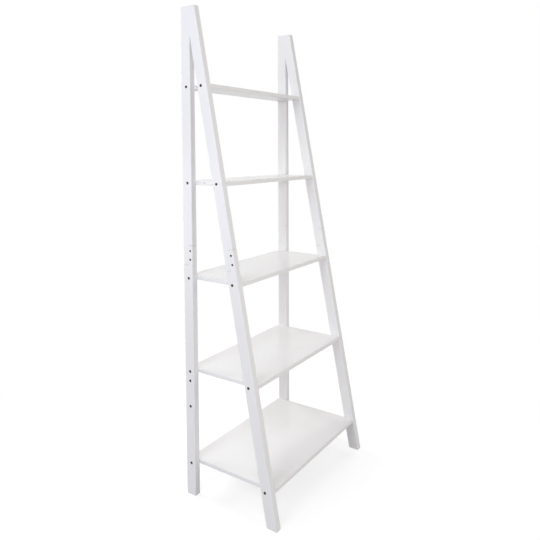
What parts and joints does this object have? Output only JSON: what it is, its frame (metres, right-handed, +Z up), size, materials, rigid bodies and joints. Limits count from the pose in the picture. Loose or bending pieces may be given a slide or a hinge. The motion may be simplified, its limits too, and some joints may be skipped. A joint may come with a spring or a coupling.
{
  "type": "ladder bookshelf",
  "caption": "White-painted wooden ladder bookshelf: upright back legs, leaning front legs and shelves that get deeper towards the floor, bolted between two side frames.",
  "frame": {"origin": "on the floor, in the middle of the bookshelf's width and depth", "axes": "+Z up, +X to the right seen from the front, +Y to the back, where the wall is"},
  "size_m": [0.654, 0.4056, 1.8],
  "materials": {
    "painted_leg": "white satin paint on solid wood, arrises eased",
    "painted_board": "white satin lacquer on smooth board",
    "bolt_steel": "dark bronze-plated steel",
    "nut_steel": "zinc-plated steel",
    "dowel_wood": "plain beech"
  },
  "bodies": {
    "root": {"bottom_shelf": "painted_board", "bottom_shelf_bolts": "bolt_steel", "bottom_shelf_nuts": "nut_steel", "left_back_lap_bolts": "bolt_steel", "left_back_lap_nuts": "nut_steel", "left_back_leg_lower": "painted_leg", "left_back_leg_upper": "painted_leg", "left_front_lap_bolts": "bolt_steel", "left_front_lap_nuts": "nut_steel", "left_front_leg_lower": "painted_leg", "left_front_leg_upper": "painted_leg", "left_top_dowels": "dowel_wood", "lower_shelf": "painted_board", "lower_shelf_bolts": "bolt_steel", "lower_shelf_nuts": "nut_steel", "middle_shelf": "painted_board", "middle_shelf_bolts": "bolt_steel", "middle_shelf_nuts": "nut_steel", "right_back_lap_bolts": "bolt_steel", "right_back_lap_nuts": "nut_steel", "right_back_leg_lower": "painted_leg", "right_back_leg_upper": "painted_leg", "right_front_lap_bolts": "bolt_steel", "right_front_lap_nuts": "nut_steel", "right_front_leg_lower": "painted_leg", "right_front_leg_upper": "painted_leg", "right_top_dowels": "dowel_wood", "top_shelf": "painted_board", "top_shelf_bolts": "bolt_steel", "top_shelf_nuts": "nut_steel", "upper_shelf": "painted_board", "upper_shelf_bolts": "bolt_steel", "upper_shelf_nuts": "nut_steel"}
  },
  "joints": []
}
